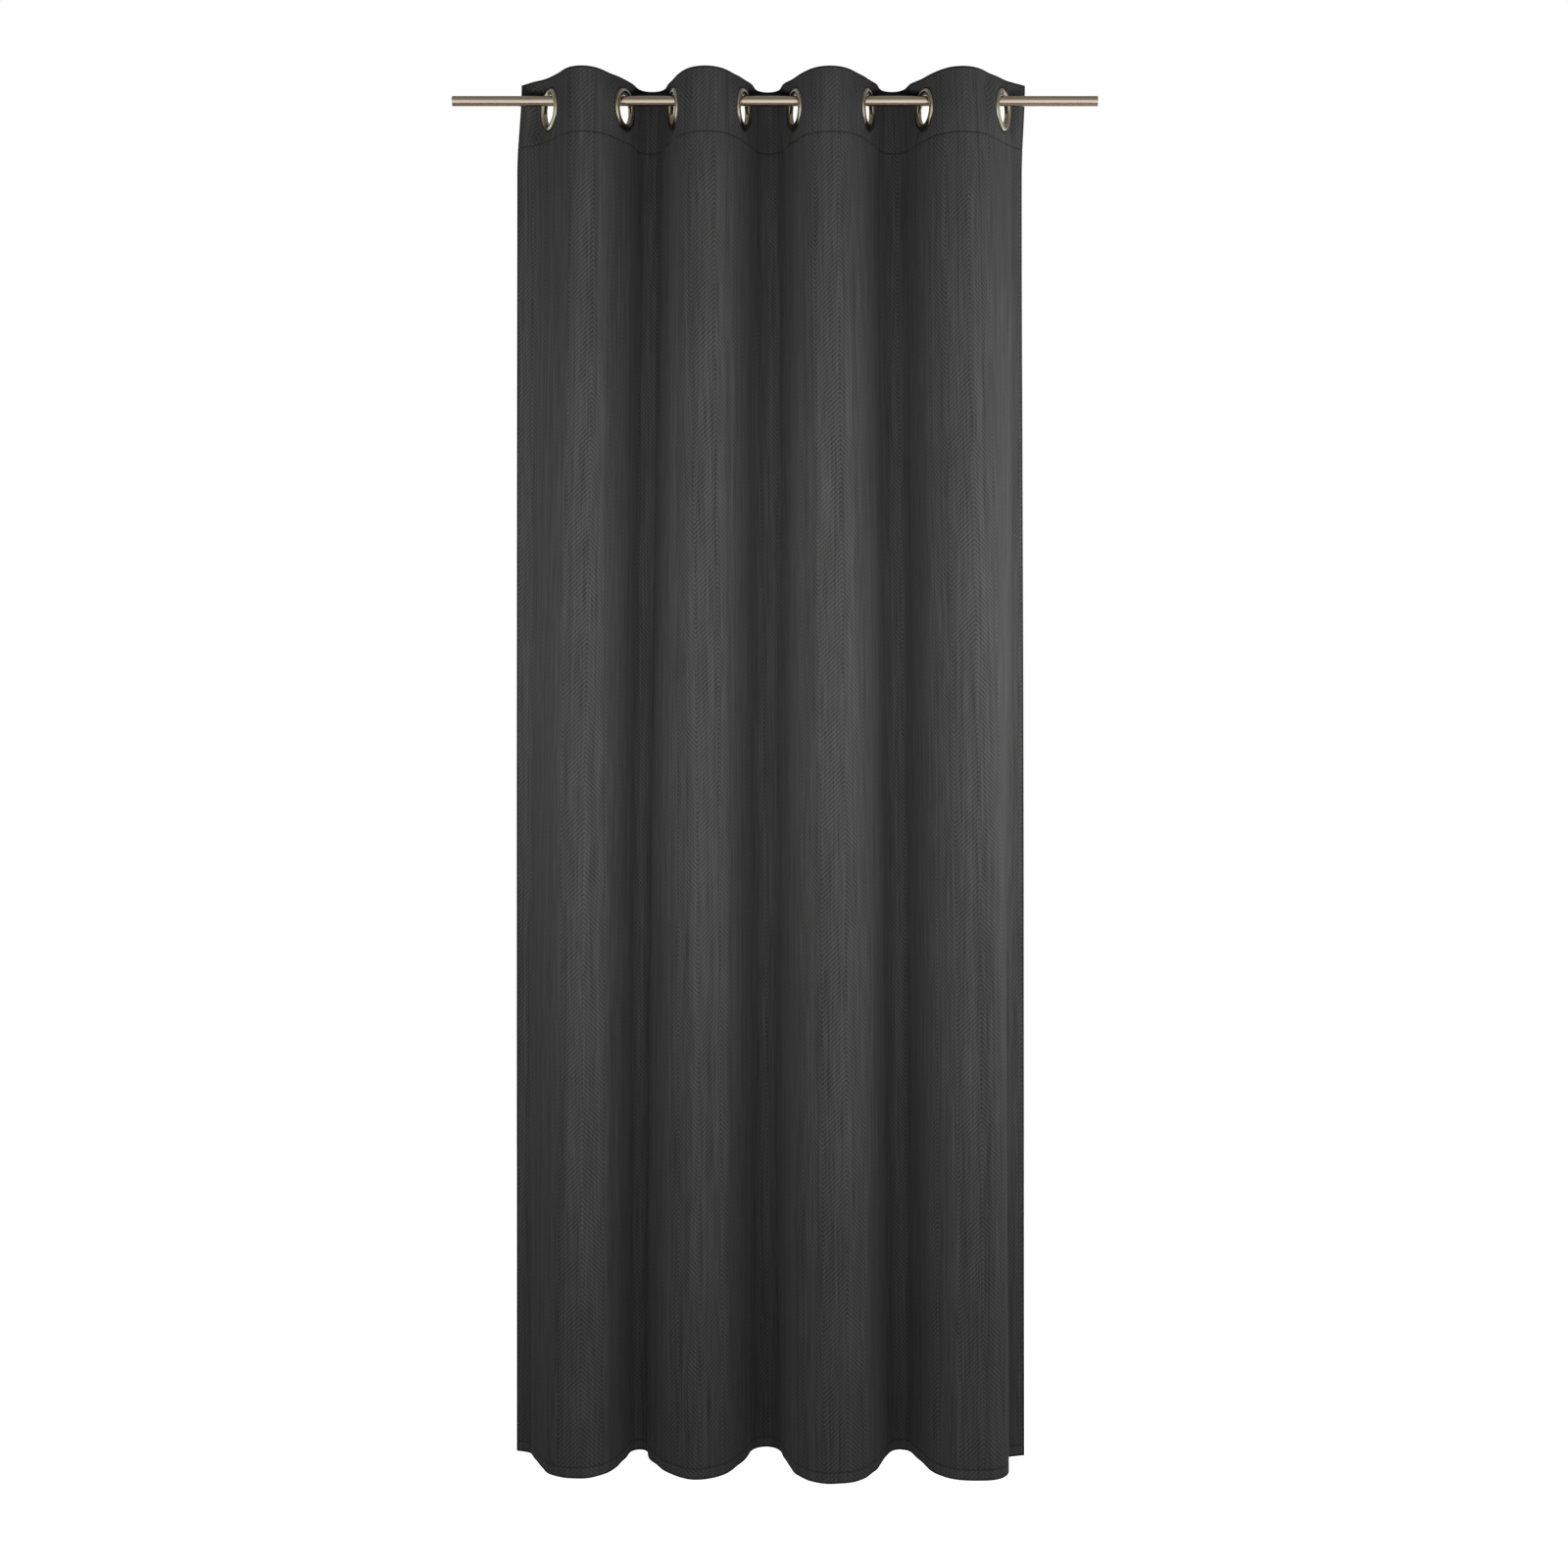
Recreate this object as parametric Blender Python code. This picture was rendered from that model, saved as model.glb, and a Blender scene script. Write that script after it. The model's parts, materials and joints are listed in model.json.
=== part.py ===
"""Eyelet room curtain hanging in folds on a short length of pole. Metres, +Z up.

The origin is the middle of the pole's axis, +X runs along the pole and +Y away from the room.
The cloth is cut into eight vertical strips, one to each eyelet, which hinge on each other at
the ridges of the folds, so that the panel gathers and spreads along the pole.
"""

import math

import bmesh
import bpy
from mathutils import Matrix

# Pole
POLE_LENGTH = 1.000
POLE_RADIUS = 0.008
POLE_WALL = 0.001
POLE_SIDES = 32

# Flat panel: 7 pitches and 2 edges make its 1.400 m width
DROP = 2.150
EYELET_PITCH = 0.182
EDGE_TO_EYELET = 0.063
TOP_TO_EYELET = 0.049
HEADER_DEPTH = 0.100
HEM_DEPTH = 0.018
SIDE_HEM_WIDTH = 0.012

# Layers of the header, from the face to the back
CLOTH = 0.0008
TAPE = 0.0005
GAP = 0.0003
SEAM_BAND = 0.003
HEM_CORNER_EXTRA = 0.0002

# Eyelets
EYELET_OUTER_RADIUS = 0.033
EYELET_INNER_RADIUS = 0.022
BARREL_WALL = 0.0012
FACE_RIM_HEIGHT = 0.0036
SHOULDER_HEIGHT = 0.0024
SHOULDER_INSET = 0.0012
CROWN_INSET = 0.0045
THROAT_INSET = 0.0030
THROAT_HEIGHT = 0.0030
MOUTH_HEIGHT = 0.0008
BACK_RIM_HEIGHT = 0.0016
EYELET_SIDES = 20
EYELET_PLAY = 0.0006
CUTTER_DEPTH = 0.012

# Hung shape: the folds' widths along the pole, and how far each eyelet turns its cloth
FIRST_EYELET_X = -0.348
FOLD_WIDTHS = (0.114, 0.078, 0.106, 0.082, 0.111, 0.090, 0.119)
EYELET_TURNS = [math.radians(turn) for turn in (63, 69, 76, 74, 72, 72, 70, 66)]
EDGE_TURN = math.radians(12)
FLAT_HALF = EYELET_OUTER_RADIUS
RIDGE_GAP = 0.0006

# Sampling, and the room that the plan's two unknowns are looked for in
WALK_STEPS = 90
BEND_STATIONS = 5
HALVINGS = 40
LEAN_RANGE = (-0.6, 0.6)
SQUARENESS_RANGE = (-0.35, 0.55)
SMOOTH_ANGLE = math.radians(40)

COUNT = len(EYELET_TURNS)
HALF_HEADER = CLOTH + GAP + TAPE / 2
HALF_POCKET = GAP + TAPE / 2
EYELET_Z = POLE_RADIUS + EYELET_PLAY - EYELET_INNER_RADIUS
TOP_Z = EYELET_Z + TOP_TO_EYELET
HEADER_Z = TOP_Z - HEADER_DEPTH
BOTTOM_Z = TOP_Z - DROP
HEM_Z = BOTTOM_Z + HEM_DEPTH
BARREL_RADIUS = EYELET_INNER_RADIUS + BARREL_WALL
HOLE_RADIUS = BARREL_RADIUS + GAP


def clear_scene():
    for obj in list(bpy.data.objects):
        bpy.data.objects.remove(obj, do_unlink=True)


def material(name, colour, roughness, metallic=0.0):
    made = bpy.data.materials.new(name)
    made.use_nodes = True
    shader = made.node_tree.nodes["Principled BSDF"]
    shader.inputs["Base Color"].default_value = (*colour, 1.0)
    shader.inputs["Roughness"].default_value = roughness
    shader.inputs["Metallic"].default_value = metallic
    return made


def add_object(name, bm, finish, smooth=False):
    """The bmesh as a new object of this name, with its faces turned outward."""
    bmesh.ops.recalc_face_normals(bm, faces=bm.faces)
    mesh = bpy.data.meshes.new(name)
    bm.to_mesh(mesh)
    bm.free()
    if smooth:
        mesh.shade_smooth()
        mesh.set_sharp_from_angle(angle=SMOOTH_ANGLE)
    mesh.materials.append(finish)
    obj = bpy.data.objects.new(name, mesh)
    bpy.context.scene.collection.objects.link(obj)
    return obj


# The panel in plan: a walk along the header's middle surface


def walk(heading_at, length):
    """Points (distance, x, depth, heading) of a walk from the origin, with heading_at(0 to 1)."""
    x = depth = 0.0
    step = length / WALK_STEPS
    points = [(0.0, x, depth, heading_at(0.0))]
    for i in range(WALK_STEPS):
        middle = heading_at((i + 0.5) / WALK_STEPS)
        x += step * math.cos(middle)
        depth += step * math.sin(middle)
        points.append(((i + 1) * step, x, depth, heading_at((i + 1) / WALK_STEPS)))
    return points


def bisect(too_far, low, high):
    for _ in range(HALVINGS):
        middle = (low + high) / 2
        low, high = (low, middle) if too_far(middle) else (middle, high)
    return (low + high) / 2


def fold_heading(start, end, squareness, lean):
    """A fold's heading at u of its pitch: flat at both eyelets, and bent between them."""
    flat = FLAT_HALF / EYELET_PITCH

    def heading(u):
        v = min(max((u - flat) / (1 - 2 * flat), 0.0), 1.0)
        bend = (1 - squareness) * math.cos(math.pi * v) + squareness * math.cos(3 * math.pi * v)
        return (start + end) / 2 * bend + (start - end) / 2 + lean * math.sin(math.pi * v)

    return heading


def fold(start, end, width):
    """The walk from one eyelet to the next, which it meets on the pole's line, width away."""

    def path(squareness):
        def walked(lean):
            return walk(fold_heading(start, end, squareness, lean), EYELET_PITCH)

        lean = bisect(lambda value: walked(value)[-1][2] > 0, *LEAN_RANGE)
        return walked(lean)

    squareness = bisect(lambda value: path(value)[-1][1] > width, *SQUARENESS_RANGE)
    return path(squareness)


def distance_at_middle(path, middle):
    """How far along the walk its x passes the middle of the fold."""
    after = next(i for i, point in enumerate(path) if point[1] >= middle)
    (s0, x0, _, _), (s1, x1, _, _) = path[after - 1 : after + 1]
    return s0 + (s1 - s0) * (middle - x0) / (x1 - x0)


def side_flap(turn):
    """The walk from an end eyelet out to the panel's side edge."""
    flat = FLAT_HALF / EDGE_TO_EYELET

    def heading(u):
        v = min(max((u - flat) / (1 - flat), 0.0), 1.0)
        return turn + (EDGE_TURN - turn) * v * v * (3 - 2 * v)

    return walk(heading, EDGE_TO_EYELET)


def panel_plan():
    """The whole walk (distance, x, y, heading), each eyelet's distance, and each ridge's."""
    x = FIRST_EYELET_X
    flap = side_flap(EYELET_TURNS[0])
    plan = [(-s, x - dx, depth, -turn) for s, dx, depth, turn in reversed(flap)]
    eyelets = [0.0]
    ridges = []
    side = -1
    for i, width in enumerate(FOLD_WIDTHS):
        start = i * EYELET_PITCH
        path = fold(EYELET_TURNS[i], EYELET_TURNS[i + 1], width)
        plan += [(start + s, x + dx, side * depth, side * turn) for s, dx, depth, turn in path[1:]]
        ridges.append(start + distance_at_middle(path, width / 2))
        x += width
        eyelets.append(start + EYELET_PITCH)
        side = -side
    start = (COUNT - 1) * EYELET_PITCH
    flap = side_flap(EYELET_TURNS[-1])
    plan += [(start + s, x + dx, depth, turn) for s, dx, depth, turn in flap[1:]]
    return plan, eyelets, ridges


def plan_at(plan, distance):
    """x, y and heading at this distance along the plan."""
    for before, after in zip(plan, plan[1:]):
        if distance <= after[0]:
            break
    share = (distance - before[0]) / (after[0] - before[0])
    return [a + (b - a) * share for a, b in zip(before[1:], after[1:])]


def stations(start, end, eyelet):
    """Distances at which a strip is sampled: its two bends evenly, and its flat by its ends."""
    left = eyelet - FLAT_HALF
    right = eyelet + FLAT_HALF
    before = [start + (left - start) * i / BEND_STATIONS for i in range(BEND_STATIONS)]
    after = [right + (end - right) * i / BEND_STATIONS for i in range(BEND_STATIONS + 1)]
    return before + [left] + after


# Sweeping a section, given as loops of (outward offset, height), along the plan


def place(plan, distance, offset, height):
    x, y, heading = plan_at(plan, distance)
    return (x + offset * math.sin(heading), y - offset * math.cos(heading), height)


def sweep(plan, distances, section_at, caps):
    """A closed bmesh through section_at(distance), which lists one or more loops of points.

    caps lists the end faces, by the points' places in the section taken as one list."""
    bm = bmesh.new()
    rings = []
    for distance in distances:
        loops = section_at(distance)
        rings.append([[bm.verts.new(place(plan, distance, *p)) for p in loop] for loop in loops])
    for first, second in zip(rings, rings[1:]):
        for a, b in zip(first, second):
            for j in range(len(a)):
                k = (j + 1) % len(a)
                bm.faces.new((a[j], a[k], b[k], b[j]))
    for ring in (rings[0], rings[-1]):
        points = [point for loop in ring for point in loop]
        for cap in caps:
            bm.faces.new([points[j] for j in cap])
    return bm


def cloth_section(side_hem):
    """Header pocket, single cloth and bottom hem, with the cloth's side hem where there is one."""
    face = HALF_HEADER
    back = face - (3 if side_hem else 1) * CLOTH
    hem_back = face - 3 * CLOTH - (HEM_CORNER_EXTRA if side_hem else 0)
    outer = [
        (face, TOP_Z),
        (-face, TOP_Z),
        (-face, HEADER_Z),
        (back, HEADER_Z),
        (back, HEM_Z),
        (hem_back, HEM_Z),
        (hem_back, BOTTOM_Z),
        (face, BOTTOM_Z),
    ]
    pocket = [
        (HALF_POCKET, TOP_Z - CLOTH),
        (-HALF_POCKET, TOP_Z - CLOTH),
        (-HALF_POCKET, HEADER_Z + SEAM_BAND),
        (HALF_POCKET, HEADER_Z + SEAM_BAND),
    ]
    return [outer, pocket]


# The end faces of the cloth's section, around its pocket
CLOTH_CAPS = [(0, 1, 9, 8), (1, 2, 10, 9), (2, 3, 11, 10), (3, 4, 5, 6, 7, 11), (0, 8, 11, 7)]


def tape_section():
    top = TOP_Z - CLOTH - GAP
    bottom = HEADER_Z + SEAM_BAND + GAP
    return [[(TAPE / 2, top), (-TAPE / 2, top), (-TAPE / 2, bottom), (TAPE / 2, bottom)]]


def eyelet_matrix(plan, distance):
    """Puts local Z along the eyelet's axis, pointing out of the curtain's face, and X level."""
    x, y, heading = plan_at(plan, distance)
    turned = Matrix.Rotation(heading, 4, "Z") @ Matrix.Rotation(math.pi / 2, 4, "X")
    return Matrix.Translation((x, y, EYELET_Z)) @ turned


def turned_ring(profile):
    """A ring spun from a profile of (radius, height) around Z, with a flat side at its top."""
    bm = bmesh.new()
    start = math.pi / EYELET_SIDES
    points = [
        bm.verts.new((radius * math.sin(start), radius * math.cos(start), height))
        for radius, height in profile
    ]
    edges = [bm.edges.new((a, b)) for a, b in zip(points, points[1:] + points[:1])]
    bmesh.ops.spin(
        bm,
        geom=points + edges,
        axis=(0, 0, 1),
        cent=(0, 0, 0),
        angle=2 * math.pi,
        steps=EYELET_SIDES,
        use_merge=True,
    )
    return bm


def face_ring_profile():
    """A domed rim on the curtain's face, and the barrel that passes through the cloth."""
    seat = HALF_HEADER + GAP
    back = -HALF_HEADER - GAP - BACK_RIM_HEIGHT
    outer = EYELET_OUTER_RADIUS
    inner = EYELET_INNER_RADIUS
    return [
        (outer, seat),
        (outer - SHOULDER_INSET, seat + SHOULDER_HEIGHT),
        (outer - CROWN_INSET, seat + FACE_RIM_HEIGHT),
        (inner + THROAT_INSET, seat + THROAT_HEIGHT),
        (inner, seat + MOUTH_HEIGHT),
        (inner, back),
        (BARREL_RADIUS, back),
        (BARREL_RADIUS, seat),
    ]


def back_ring_profile():
    seat = -HALF_HEADER - GAP
    back = seat - BACK_RIM_HEIGHT
    outer = EYELET_OUTER_RADIUS
    return [
        (outer, seat),
        (outer - SHOULDER_INSET, back),
        (HOLE_RADIUS, back),
        (HOLE_RADIUS, seat),
    ]


def hole_cutter(index, matrix):
    """A drum that clears one eyelet's barrel out of the cloth and the tape."""
    bm = bmesh.new()
    bmesh.ops.create_cone(
        bm,
        cap_ends=True,
        segments=EYELET_SIDES,
        radius1=HOLE_RADIUS,
        radius2=HOLE_RADIUS,
        depth=CUTTER_DEPTH,
        matrix=Matrix.Rotation(math.pi / 2 + math.pi / EYELET_SIDES, 4, "Z"),
    )
    cutter = add_object(f"eyelet_hole_cutter_{index}", bm, MATERIALS["guide"])
    cutter.matrix_world = matrix
    cutter.hide_render = True
    cutter.display_type = "WIRE"
    return cutter


def cut(obj, cutter):
    boolean = obj.modifiers.new("eyelet_hole", "BOOLEAN")
    boolean.operation = "DIFFERENCE"
    boolean.object = cutter


def build_pole():
    """A plain tube with cut ends."""
    bm = bmesh.new()
    half = POLE_LENGTH / 2
    bore = POLE_RADIUS - POLE_WALL
    section = [(-half, bore), (-half, POLE_RADIUS), (half, POLE_RADIUS), (half, bore)]
    points = [bm.verts.new((x, 0, radius)) for x, radius in section]
    edges = [bm.edges.new((a, b)) for a, b in zip(points, points[1:] + points[:1])]
    bmesh.ops.spin(
        bm,
        geom=points + edges,
        axis=(1, 0, 0),
        cent=(0, 0, 0),
        angle=2 * math.pi,
        steps=POLE_SIDES,
        use_merge=True,
    )
    add_object("pole_tube", bm, MATERIALS["pole"], smooth=True)


def build_strip(index, plan, start, end, eyelet):
    """One strip of cloth, with the stiffening tape in its header and its two-part eyelet."""
    first = index == 1
    last = index == COUNT
    distances = stations(start, end, eyelet)
    hem_step = []
    if first:
        hem_step = [start + SIDE_HEM_WIDTH, start + SIDE_HEM_WIDTH + GAP]
    if last:
        hem_step = [end - SIDE_HEM_WIDTH - GAP, end - SIDE_HEM_WIDTH]

    def in_side_hem(distance):
        if first:
            return distance <= start + SIDE_HEM_WIDTH
        return last and distance >= end - SIDE_HEM_WIDTH

    bm = sweep(
        plan,
        sorted(distances + hem_step),
        lambda distance: cloth_section(in_side_hem(distance)),
        CLOTH_CAPS,
    )
    cloth = add_object(f"curtain_cloth_{index}", bm, MATERIALS["cloth"])
    bm = sweep(plan, distances, lambda distance: tape_section(), [(0, 1, 2, 3)])
    tape = add_object(f"header_tape_{index}", bm, MATERIALS["tape"])
    matrix = eyelet_matrix(plan, eyelet)
    cutter = hole_cutter(index, matrix)
    cut(cloth, cutter)
    cut(tape, cutter)
    rings = {"eyelet_face_ring": face_ring_profile(), "eyelet_back_ring": back_ring_profile()}
    for name, profile in rings.items():
        ring = add_object(f"{name}_{index}", turned_ring(profile), MATERIALS["eyelet"], smooth=True)
        ring.matrix_world = matrix


clear_scene()
MATERIALS = {
    "cloth": material("charcoal cloth", (0.036, 0.036, 0.037), 0.85),
    "tape": material("stiffening tape", (0.62, 0.61, 0.58), 0.9),
    "eyelet": material("antique nickel", (0.50, 0.45, 0.36), 0.28, metallic=1.0),
    "pole": material("brushed champagne metal", (0.56, 0.46, 0.36), 0.32, metallic=1.0),
    "guide": material("guide", (0.8, 0.2, 0.2), 0.5),
}
build_pole()
PLAN, EYELETS, RIDGES = panel_plan()
STARTS = [PLAN[0][0]] + [ridge + RIDGE_GAP for ridge in RIDGES]
ENDS = [ridge - RIDGE_GAP for ridge in RIDGES] + [PLAN[-1][0]]
for number, (start, end, eyelet) in enumerate(zip(STARTS, ENDS, EYELETS), 1):
    build_strip(number, PLAN, start, end, eyelet)
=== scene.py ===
"""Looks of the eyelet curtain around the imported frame: cloth, hems, stitching, eyelets and pole."""

import json
import math

import bmesh
import bpy
import numpy as np
from mathutils import Matrix, Vector


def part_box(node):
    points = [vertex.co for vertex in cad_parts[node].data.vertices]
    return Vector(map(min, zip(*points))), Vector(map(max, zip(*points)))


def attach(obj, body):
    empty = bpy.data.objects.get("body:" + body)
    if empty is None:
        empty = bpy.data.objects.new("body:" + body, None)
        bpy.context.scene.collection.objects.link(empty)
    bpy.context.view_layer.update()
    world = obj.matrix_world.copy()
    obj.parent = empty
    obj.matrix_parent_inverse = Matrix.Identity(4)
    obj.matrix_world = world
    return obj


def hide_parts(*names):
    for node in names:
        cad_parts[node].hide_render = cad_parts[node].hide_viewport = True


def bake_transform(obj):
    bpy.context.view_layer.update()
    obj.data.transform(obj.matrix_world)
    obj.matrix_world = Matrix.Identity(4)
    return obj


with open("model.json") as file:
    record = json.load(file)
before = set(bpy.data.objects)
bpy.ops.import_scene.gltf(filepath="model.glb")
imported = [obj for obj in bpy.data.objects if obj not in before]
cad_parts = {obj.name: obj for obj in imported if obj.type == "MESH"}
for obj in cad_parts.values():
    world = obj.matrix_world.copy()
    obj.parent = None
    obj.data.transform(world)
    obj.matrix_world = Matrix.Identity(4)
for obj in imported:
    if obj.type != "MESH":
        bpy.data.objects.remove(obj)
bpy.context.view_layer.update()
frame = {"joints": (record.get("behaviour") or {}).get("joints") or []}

# ---------------------------------------------------------------- sizes, in metres

pole_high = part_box("pole_tube")[1]
POLE_RADIUS = pole_high.z
POLE_WALL = 0.001
POLE_EDGE = 0.0002
TOP_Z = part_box("curtain_cloth_1")[1].z
DROP = TOP_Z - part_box("curtain_cloth_1")[0].z

CLOTH = 0.0008
TAPE = 0.0005
GAP = 0.0003
HALF_HEADER = CLOTH + GAP + TAPE / 2
HALF_POCKET = GAP + TAPE / 2
HEADER_DEPTH = 0.100
HEADER_SEAM = 0.0985
HEM_DEPTH = 0.018
HEM_SEAM_RISE = 0.0165
HEM_SEAM = DROP - HEM_SEAM_RISE
SIDE_HEM = 0.012
SIDE_SEAM = 0.0105
HEM_LAYERS = 3 * CLOTH

EYELET_PITCH = 0.182
EDGE_TO_EYELET = 0.063
EYELET_DROP = 0.049
EYELET_Z = TOP_Z - EYELET_DROP
EYELET_OUTER = 0.033
EYELET_INNER = 0.022
BARREL_WALL = 0.0012
HOLE_PLAY = 0.0009
HOLE_RADIUS = EYELET_INNER + BARREL_WALL + HOLE_PLAY

# The frame's hinges give every eyelet's place: each ridge is half way between two eyelets
HINGES = {joint["name"]: joint["pos_m"] for joint in frame["joints"]}
EYELET_X = [HINGES["gather"][0]]
for ridge in range(1, len(HINGES)):
    EYELET_X.append(2 * HINGES[f"ridge_{ridge}"][0] - EYELET_X[-1])
COUNT = len(EYELET_X)
EYELET_TURNS = (63, 69, 76, 74, 72, 72, 70, 66)
SIDE_EDGES = (-EDGE_TO_EYELET, (COUNT - 1) * EYELET_PITCH + EDGE_TO_EYELET)

# The hung shape in plan: at the top edge, at the eyelets, under them and at the hem. In each,
# start is where the cloth first crosses the pole's line, and then come the cloth's length in
# each flap and fold, the folds' widths along the pole, and the angle of each crossing in
# degrees. A flap is the angle of its side edge, and how far it runs straight and then bends.
# Straight is how far the cloth runs straight on either side of a crossing.
EVEN_LENGTHS = (EDGE_TO_EYELET, *[EYELET_PITCH] * (COUNT - 1), EDGE_TO_EYELET)
AT_TOP = dict(
    start=-0.3570,
    lengths=(0.056, 0.188, 0.180, 0.182, 0.182, 0.186, 0.180, 0.188, 0.058),
    widths=(0.1193, 0.0812, 0.1058, 0.0777, 0.1160, 0.0835, 0.1240),
    turns=(45, 61, 71, 63, 63, 60, 61, 50),
    flaps=((43, 0.010, 0.030), (40, 0.010, 0.030)),
    straight=0.010,
)
AT_EYELETS = dict(
    start=EYELET_X[0],
    lengths=EVEN_LENGTHS,
    widths=[b - a for a, b in zip(EYELET_X, EYELET_X[1:])],
    turns=EYELET_TURNS,
    flaps=((-14, EYELET_OUTER, 0.010), (-4, EYELET_OUTER, 0.012)),
    straight=EYELET_OUTER,
)
UNDER_EYELETS = dict(
    start=-0.354,
    lengths=EVEN_LENGTHS,
    widths=(0.119, 0.073, 0.113, 0.079, 0.116, 0.084, 0.122),
    turns=(52, 66, 68, 70, 72, 70, 68, 62),
    flaps=((14, 0.016, 0.036), (42, 0.020, 0.040)),
    straight=0.010,
)
# The last fold overhangs the side flap behind it
AT_HEM = dict(
    start=-0.3633,
    lengths=(0.079, 0.172, 0.149, 0.178, 0.183, 0.220, 0.154, 0.201, 0.064),
    widths=(0.1198, 0.0610, 0.1250, 0.0799, 0.1394, 0.0713, 0.1240),
    turns=(67, 69, 58, 65, 76, 70, 69, 98),
    flaps=((18, 0.044, 0.024), (15, 0.010, 0.035)),
    straight=0.008,
)

# Distances from an eyelet's centre where the cloth starts and ends letting go of its plane
LETS_GO = (EYELET_OUTER + 0.001, EYELET_OUTER + 0.027)
# Depths below the top edge: where the shape under the eyelets is reached, and where the hem's
# shape comes in, partly with a soft start and end and partly evenly
UNDER_DEPTH = 0.14
HEM_SOFTLY = (0.15, 1.3)
HEM_SOFT_SHARE = 0.45
HEM_EVENLY_FROM = 0.3

WALK_STEPS = 120
HALVINGS = 30
LEAN_RANGE = (-1.0, 1.0)
SQUARENESS_RANGE = (-0.45, 0.6)
TANGENT_STEP = 0.001
COLUMN_STEP = 0.0035
# Two places on the flat cloth nearer than this are the same place
TOUCHING = 0.001

# ---------------------------------------------------------------- materials


class Shader:
    """A material's node tree, with short ways to add nodes."""

    def __init__(self, name):
        self.material = bpy.data.materials.new(name)
        self.material.use_nodes = True
        self.tree = self.material.node_tree
        self.out = self.tree.nodes["Principled BSDF"]

    def node(self, kind, values=None, **settings):
        made = self.tree.nodes.new(kind)
        for key, value in settings.items():
            setattr(made, key, value)
        for key, value in (values or {}).items():
            if isinstance(value, bpy.types.NodeSocket):
                self.tree.links.new(value, made.inputs[key])
            else:
                made.inputs[key].default_value = value
        return made

    def maths(self, operation, a, b=0.0, c=0.0):
        made = self.tree.nodes.new("ShaderNodeMath")
        made.operation = operation
        for place, value in enumerate((a, b, c)):
            if isinstance(value, bpy.types.NodeSocket):
                self.tree.links.new(value, made.inputs[place])
            else:
                made.inputs[place].default_value = value
        return made.outputs[0]

    def square(self, value):
        return self.maths("MULTIPLY", value, value)

    def wave(self, value, pitch):
        return self.maths("SINE", self.maths("MULTIPLY", value, math.tau / pitch))

    def fade(self, value, low, high, least):
        """Rises from least to 1 while the value goes from low to high."""
        values = {"Value": value, "From Min": low, "From Max": high, "To Min": least}
        return self.node("ShaderNodeMapRange", values).outputs[0]

    def stretched_noise(self, vector, scale, detail=2.0):
        """Noise from 0 to 1, with its own scale along each axis of the vector."""
        mapped = self.node("ShaderNodeMapping", {"Vector": vector, "Scale": scale})
        noise = self.node(
            "ShaderNodeTexNoise",
            {"Vector": mapped.outputs[0], "Scale": 1.0, "Detail": detail, "Roughness": 0.55},
        )
        return noise.outputs["Fac"]

    def ramp(self, value, *stops):
        made = self.node("ShaderNodeValToRGB", {"Fac": value})
        elements = made.color_ramp.elements
        while len(elements) < len(stops):
            elements.new(0.5)
        for element, (place, colour) in zip(elements, stops):
            element.position = place
            element.color = (*colour, 1.0)
        return made.outputs["Color"]

    def bump(self, height, strength, distance, below=None):
        values = {"Height": height, "Strength": strength, "Distance": distance}
        if below is not None:
            values["Normal"] = below
        return self.node("ShaderNodeBump", values).outputs["Normal"]

    def set(self, **inputs):
        for key, value in inputs.items():
            socket = self.out.inputs[key.replace("_", " ")]
            if isinstance(value, bpy.types.NodeSocket):
                self.tree.links.new(value, socket)
            else:
                socket.default_value = value
        return self.material


# The weave: each stripe's width, the drop from one twill line to the next, and how it shows
HERRINGBONE_STRIPE = 0.036
TWILL_DROP = 0.0072
TWILL_TONE = 0.28
FINE_TWILL_DROP = 0.0015
WARP_PITCH = 0.0009
HEM_TONE = 0.05

# Painted shade: for each, the distances over which it fades out, and the share of the tone left
# inside: along the folded edges, as contact shadow round each eyelet, and in the seams' dents.
# A seam's painted shade takes away the share of the tone that is listed with it.
PAINTED_EDGE_SHADE = (0.0018, 0.0038, 0.1)
PAINTED_RING_SHADOW = (EYELET_OUTER + 0.0006, EYELET_OUTER + 0.003, 0.3)
PAINTED_SEAM_FADE = (0.0003, 0.0019)
PAINTED_SEAM_DEPTHS = ((HEADER_SEAM, 0.55), (HEM_SEAM, 0.40))


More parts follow.
